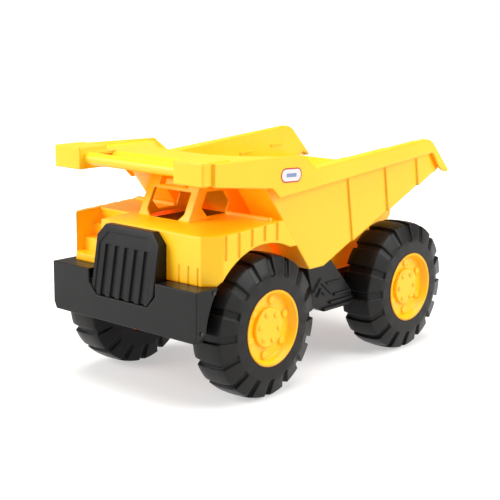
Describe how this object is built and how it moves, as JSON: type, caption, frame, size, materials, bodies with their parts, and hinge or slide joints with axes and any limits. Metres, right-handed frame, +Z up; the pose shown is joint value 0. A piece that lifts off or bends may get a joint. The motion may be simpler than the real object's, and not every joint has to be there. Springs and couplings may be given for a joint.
{
  "type": "toy dump truck",
  "caption": "Toy haul truck with an open cab, a canopied bed that tips back on a hinge pin, and large lugged wheels that turn freely on steel axles.",
  "frame": {"origin": "on the ground under the middle of the bounding box", "axes": "-Y towards the grille, +X towards the truck's left side, +Z up"},
  "size_m": [0.316, 0.5739, 0.3339],
  "materials": {
    "yellow_plastic": "satin moulded",
    "black_plastic": "fine grain, satin",
    "tyre_plastic": "matte moulded",
    "axle_steel": "drawn rod",
    "black_screw": "blackened",
    "label_film": "printed border, no lettering"
  },
  "bodies": {
    "base": {"chassis": "black_plastic", "front_bumper": "black_plastic", "grille": "black_plastic", "cab_body": "yellow_plastic", "cab_floor": "black_plastic", "left_tank": "black_plastic", "right_tank": "black_plastic", "front_axle": "axle_steel", "rear_axle": "axle_steel", "wheel_spacers": "black_plastic", "axle_nuts": "axle_steel", "hinge_pin": "axle_steel", "hinge_caps": "black_plastic", "bumper_screws": "black_screw", "floor_screws": "axle_steel"},
    "bed": {"dump_bed": "yellow_plastic", "left_label": "label_film", "right_label": "label_film"},
    "wheel_front_left": {"tyre_front_left": "tyre_plastic", "hub_front_left": "yellow_plastic", "cap_front_left": "yellow_plastic"},
    "wheel_front_right": {"tyre_front_right": "tyre_plastic", "hub_front_right": "yellow_plastic", "cap_front_right": "yellow_plastic"},
    "wheel_rear_left": {"tyre_rear_left": "tyre_plastic", "hub_rear_left": "yellow_plastic", "cap_rear_left": "yellow_plastic"},
    "wheel_rear_right": {"tyre_rear_right": "tyre_plastic", "hub_rear_right": "yellow_plastic", "cap_rear_right": "yellow_plastic"}
  },
  "joints": [
    {"name": "bed_tip", "type": "hinge", "parent": "base", "child": "bed", "pos_m": [0, 0.1935, 0.15], "axis": [-1, 0, 0], "range_deg": [0, 50]},
    {"name": "front_left_spin", "type": "hinge", "parent": "base", "child": "wheel_front_left", "pos_m": [0.124, -0.1535, 0.1], "axis": [1, 0, 0], "continuous": true},
    {"name": "front_right_spin", "type": "hinge", "parent": "base", "child": "wheel_front_right", "pos_m": [-0.124, -0.1535, 0.1], "axis": [1, 0, 0], "continuous": true},
    {"name": "rear_left_spin", "type": "hinge", "parent": "base", "child": "wheel_rear_left", "pos_m": [0.124, 0.1745, 0.1], "axis": [1, 0, 0], "continuous": true},
    {"name": "rear_right_spin", "type": "hinge", "parent": "base", "child": "wheel_rear_right", "pos_m": [-0.124, 0.1745, 0.1], "axis": [1, 0, 0], "continuous": true}
  ]
}
